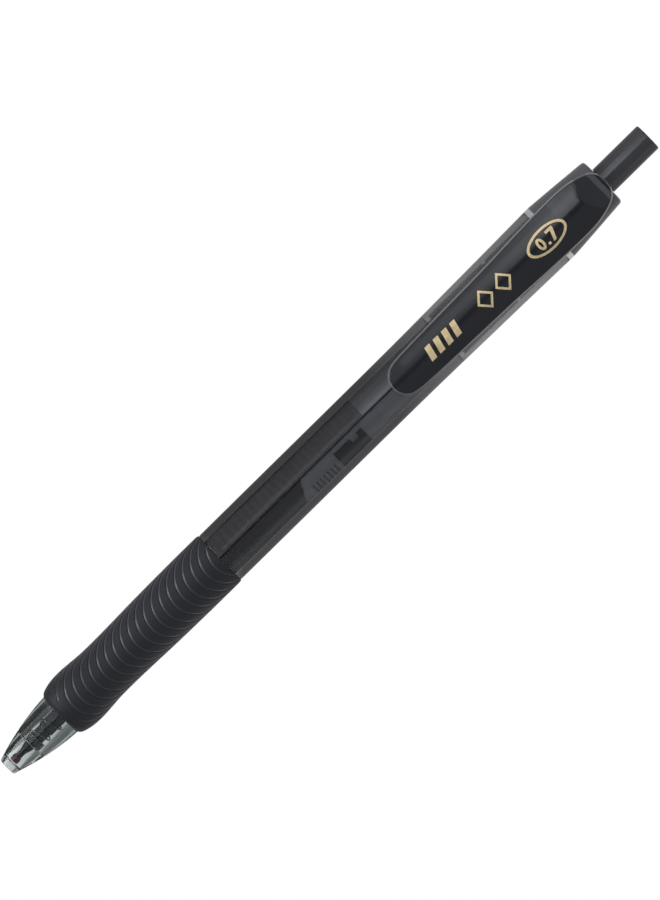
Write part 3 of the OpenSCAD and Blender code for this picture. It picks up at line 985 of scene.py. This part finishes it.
def softbox(name, centre, size, radiance, facing=None, fade=1.0):
    """A rectangular light, in metres, that looks straight down or at the point facing. Its first
    side is level, and lies along X when it looks down. Its brightness goes evenly from radiance
    at its low-Y edge to fade times that at the other."""
    light = bpy.data.lights.new(name, "AREA")
    light.shape = "RECTANGLE"
    light.size, light.size_y = size
    light.energy = radiance * math.pi * size[0] * size[1]
    light.color = LIGHT_COLOUR
    if fade != 1:
        light.use_nodes = True
        tree = light.node_tree
        place = tree.nodes.new("ShaderNodeNewGeometry")
        split = tree.nodes.new("ShaderNodeSeparateXYZ")
        ramp = tree.nodes.new("ShaderNodeMapRange")
        ramp.inputs["From Min"].default_value = centre[1] - size[1] / 2
        ramp.inputs["From Max"].default_value = centre[1] + size[1] / 2
        ramp.inputs["To Min"].default_value = 1.0
        ramp.inputs["To Max"].default_value = fade
        tree.links.new(place.outputs["Position"], split.inputs[0])
        tree.links.new(split.outputs["Y"], ramp.inputs["Value"])
        tree.links.new(ramp.outputs["Result"], tree.nodes["Emission"].inputs["Strength"])
    obj = bpy.data.objects.new(name, light)
    back = Vector((0, 0, 1))
    side = Vector((1, 0, 0))
    if facing:
        back = (Vector(centre) - Vector(facing)).normalized()
        side = Vector((0, 0, 1)).cross(back).normalized()
    obj.matrix_world = posed(side, back.cross(side).normalized(), back, centre)
    obj.visible_camera = False
    bpy.context.scene.collection.objects.link(obj)


# The key and the fill lie beside a gap over the pen, which leaves the clip's middle dark. The
# core and the glow brighten parts of the key's highlight along the clip. The rest light the
# flanks, the grooves of the grip and the rear.
HEIGHT = 0.6
GAP = 0.045
softbox("key_softbox", (-0.38, GAP + 0.5, HEIGHT), (1.2, 1.0), 0.56, fade=0.9)
softbox("key_core", (0.083, 0.2, 0.585), (0.275, 0.15), 0.5)
softbox("rear_glow", (0.057, GAP + 0.35, 0.57), (0.08, 0.7), 1.6)
softbox("side_panel", (0, 1.1, 0.32), (2.0, 0.6), 0.45, facing=(0, 0, 0.32))
softbox("low_panel", (0, -1.1, 0.32), (2.0, 0.6), 0.5, facing=(0, 0, 0.32))
softbox("fill_softbox", (0, -GAP - 0.5, HEIGHT), (2.0, 1.0), 0.22)
softbox("groove_panel", (-0.6, 0.6, 0.36), (0.5, 0.55), 4.0, facing=(0, 0, 0.36))
softbox("rear_fill", (0.62, 0, HEIGHT), (0.7, 1.2), 0.4)
softbox("end_panel", (0.9, 0, 0.5), (1.0, 0.35), 1.0, facing=(0, 0, 0.1))


def light_room():
    """A dim room to the pen, and white to the camera."""
    world = bpy.data.worlds.new("studio")
    bpy.context.scene.world = world
    world.use_nodes = True
    tree = world.node_tree
    room = tree.nodes["Background"]
    room.inputs["Color"].default_value = (0.1, 0.1, 0.11, 1)
    white = tree.nodes.new("ShaderNodeBackground")
    white.inputs["Color"].default_value = (1, 1, 1, 1)
    two_looks(tree, room, white, "World Output")


light_room()

# ---------------------------------------------------------------- camera

LENS = 400.0
SENSOR = 36.0
VIEW = 0.14523

# how the camera leans along and across the pen, and how the pen slants in the picture
TILT = math.radians(-1.0)
ROLL = math.radians(1.6)
PEN_ANGLE = math.radians(44.52)


def aim_camera():
    """A long lens from almost straight above, so that the height VIEW fills the picture."""
    back = Vector((-math.sin(TILT), math.sin(ROLL), math.cos(TILT))).normalized()
    pen = Vector((1, 0, 0))
    along = (pen - back * pen.dot(back)).normalized()
    side = back.cross(along)
    right = along * math.cos(PEN_ANGLE) - side * math.sin(PEN_ANGLE)
    up = along * math.sin(PEN_ANGLE) + side * math.cos(PEN_ANGLE)
    middle = mm(BUTTON_END / 2, 0, 0) + along * 0.00054 - side * 0.00005
    camera = bpy.data.cameras.new("camera")
    camera.lens = LENS
    camera.sensor_width = SENSOR
    camera.sensor_fit = "AUTO"
    camera.clip_start = 0.05
    camera.clip_end = 20
    obj = bpy.data.objects.new("camera", camera)
    obj.matrix_world = posed(right, up, back, middle + back * (VIEW * LENS / SENSOR))
    bpy.context.scene.collection.objects.link(obj)
    bpy.context.scene.camera = obj
    bpy.context.scene.view_settings.view_transform = "Standard"


aim_camera()
